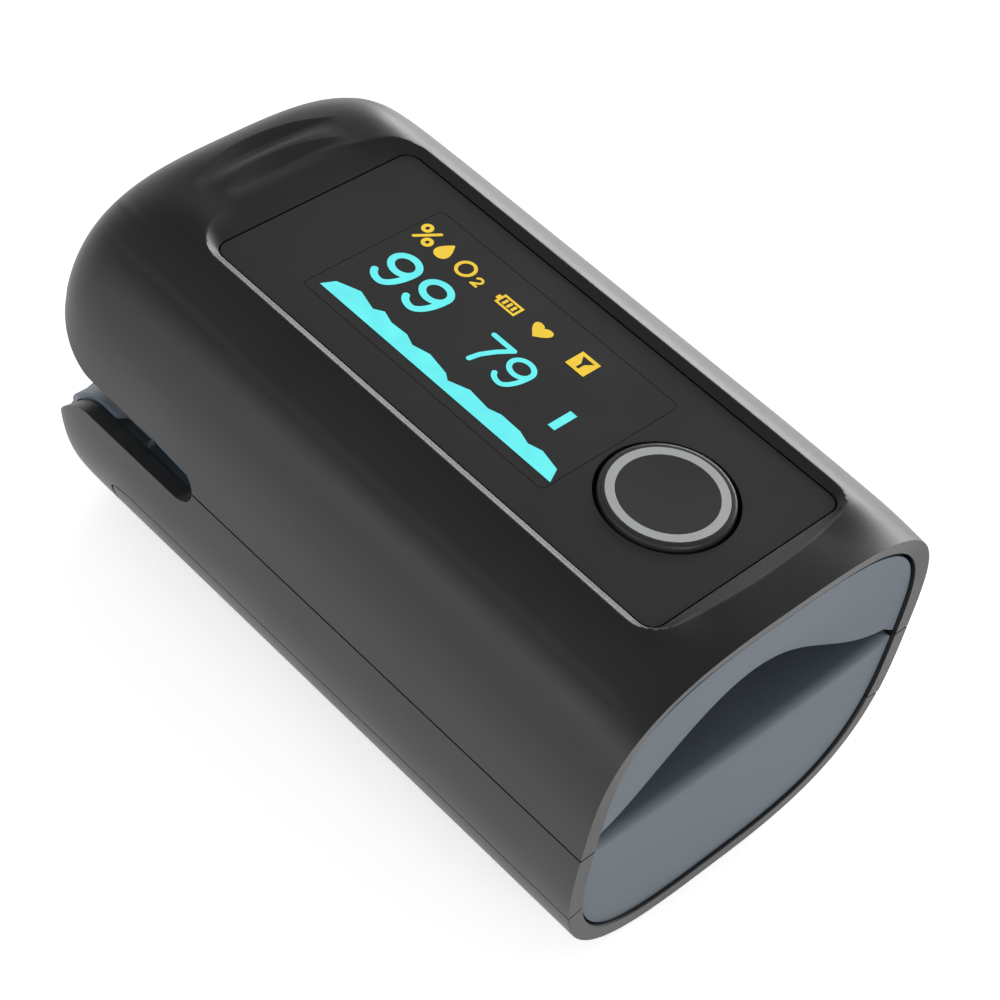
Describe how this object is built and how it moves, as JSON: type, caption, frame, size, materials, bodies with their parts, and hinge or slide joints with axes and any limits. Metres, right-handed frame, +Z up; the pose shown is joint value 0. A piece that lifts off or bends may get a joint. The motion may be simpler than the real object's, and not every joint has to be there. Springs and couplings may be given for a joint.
{
  "type": "fingertip pulse oximeter",
  "caption": "Fingertip pulse oximeter: a sprung two-half clip with silicone finger pads, a lit display window, a round power button and a sliding battery door.",
  "frame": {"origin": "centre of the underside, at the middle of the overall length and width", "axes": "+X towards the finger opening, +Y to the object's left, +Z up through the display"},
  "size_m": [0.0598, 0.0338, 0.0306],
  "materials": {
    "charcoal_shell": "fine matte moulded grain",
    "black_window": "satin black window",
    "light_ring": "satin light grey",
    "display_glass": "dark display glass",
    "blue_grey_silicone": "soft matte silicone",
    "blue_grey_frame": "matte moulded",
    "circuit_board": "green solder mask",
    "chip_black": "moulded black",
    "foam": "closed-cell foam",
    "flex_film": "amber polyimide film",
    "steel": "bright nickel-plated steel",
    "plated_contact": "gold-plated",
    "clear_lens": "clear moulded window",
    "cell_sleeve": "printed sleeve over a metal can"
  },
  "bodies": {
    "lower_half": {"lower_shell": "charcoal_shell", "lower_frame": "blue_grey_frame", "lower_pad": "blue_grey_silicone", "sensor_board": "circuit_board", "photodiode": "chip_black", "sensor_lens": "clear_lens", "battery_1": "cell_sleeve", "battery_2": "cell_sleeve", "battery_plate_plus": "plated_contact", "battery_plate_minus": "steel", "battery_spring_minus": "steel", "bridge_contact": "steel", "hinge_pin": "steel", "torsion_spring_left": "steel", "torsion_spring_right": "steel", "flex_cable": "flex_film", "lower_screw_1": "steel", "lower_screw_2": "steel", "lower_screw_3": "steel", "lower_screw_4": "steel"},
    "upper_half": {"upper_shell": "charcoal_shell", "display_window": "black_window", "oled_module": "display_glass", "oled_gasket": "foam", "oled_ribbon": "flex_film", "main_board": "circuit_board", "processor_chip": "chip_black", "front_end_chip": "chip_black", "clock_crystal": "steel", "cable_socket": "chip_black", "buzzer": "chip_black", "tact_switch": "steel", "upper_frame": "blue_grey_frame", "upper_pad": "blue_grey_silicone", "emitter_lens": "clear_lens", "emitter_led": "clear_lens", "emitter_board": "circuit_board", "upper_screw_1": "steel", "upper_screw_2": "steel", "upper_screw_3": "steel", "upper_screw_4": "steel"},
    "power_button": {"button_cap": "black_window", "button_ring": "light_ring"},
    "door": {"battery_door": "charcoal_shell"}
  },
  "joints": [
    {"name": "clip_hinge", "type": "hinge", "parent": "lower_half", "child": "upper_half", "pos_m": [-0.01165, 0, 0.0157], "axis": [0, -1, 0], "range_deg": [0, 16], "stiffness_Nm_per_rad": 0.25, "springref_deg": -17.19, "deforming": ["flex_cable", "torsion_spring_left", "torsion_spring_right"]},
    {"name": "button_press", "type": "slide", "parent": "upper_half", "child": "power_button", "axis": [0, 0, -1], "range_m": [0, 0.0004], "stiffness_N_per_m": 1500, "springref_m": -0.0004},
    {"name": "door_slide", "type": "slide", "parent": "lower_half", "child": "door", "axis": [1, 0, 0], "range_m": [0, 0.052]}
  ]
}
